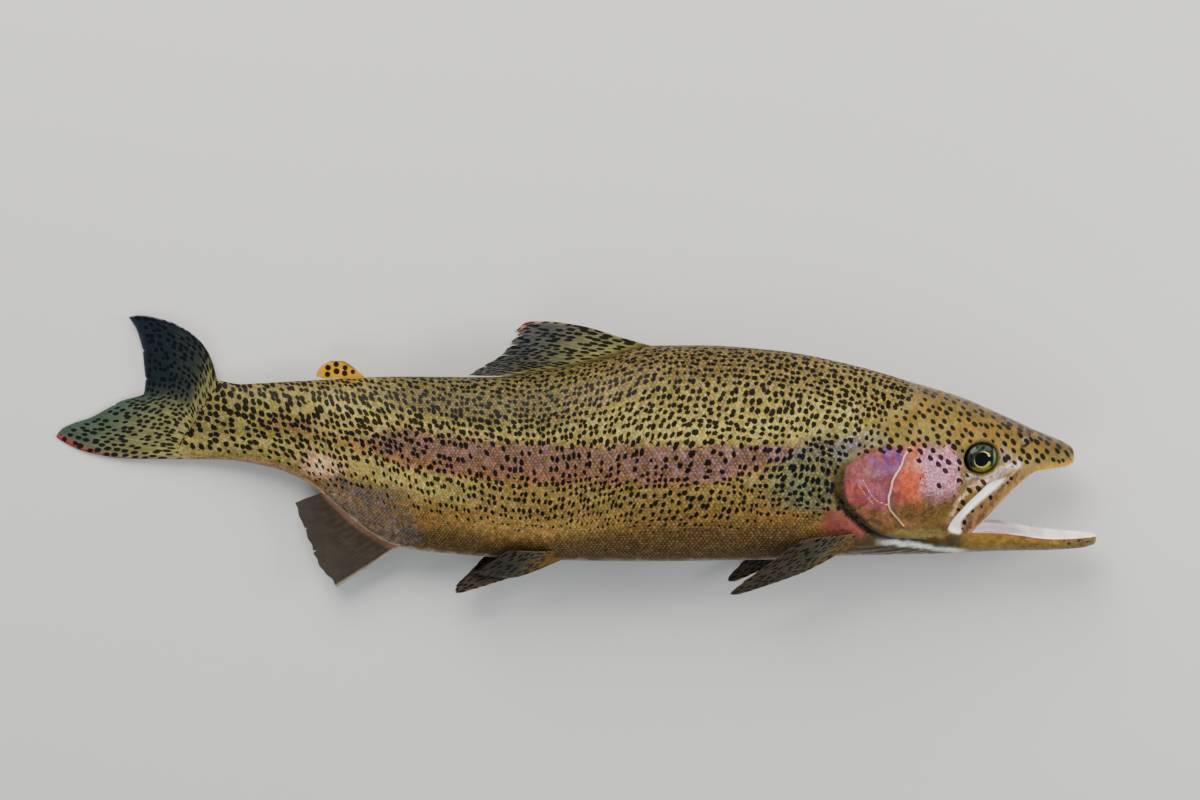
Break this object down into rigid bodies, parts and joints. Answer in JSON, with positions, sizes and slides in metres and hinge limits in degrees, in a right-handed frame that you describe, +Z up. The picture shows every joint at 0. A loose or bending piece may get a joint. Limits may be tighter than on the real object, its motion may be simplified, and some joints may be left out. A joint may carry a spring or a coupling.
{
  "type": "rainbow trout, still life-size model",
  "caption": "Life-size rainbow trout lying on its left side with its mouth open, as a still display model.",
  "frame": {"origin": "on the floor, under the middle of the fish's bounding box", "axes": "+X from the tail to the snout, +Y from the belly to the back, +Z up through the right flank"},
  "size_m": [0.6378, 0.1697, 0.0647],
  "materials": {
    "skin": "wet olive-gold scaled skin with black spots and a rose stripe",
    "cheek": "smooth wet rose and violet gill cover with a brown rim",
    "mouth": "wet white to pale pink lining of the mouth",
    "eye": "clear wet eye with a dark iris and a thin gold ring",
    "fin": "wet translucent fin skin over fine rays, olive-grey with dark spots",
    "adipose": "soft orange fin with black spots"
  },
  "bodies": {
    "root": {"head": "skin", "lower_jaw": "skin", "maxilla_right": "skin", "maxilla_left": "skin", "gill_cover_right": "cheek", "gill_cover_left": "cheek", "eye_right": "eye", "eye_left": "eye", "tongue": "mouth", "trunk_front": "skin", "trunk_middle": "skin", "trunk_rear": "skin", "tail_stalk": "skin", "caudal_fin_upper": "fin", "caudal_fin_lower": "fin", "dorsal_fin": "fin", "adipose_fin": "adipose", "anal_fin": "fin", "pectoral_fin_right": "fin", "pectoral_fin_left": "fin", "pelvic_fin_right": "fin", "pelvic_fin_left": "fin"}
  },
  "joints": []
}
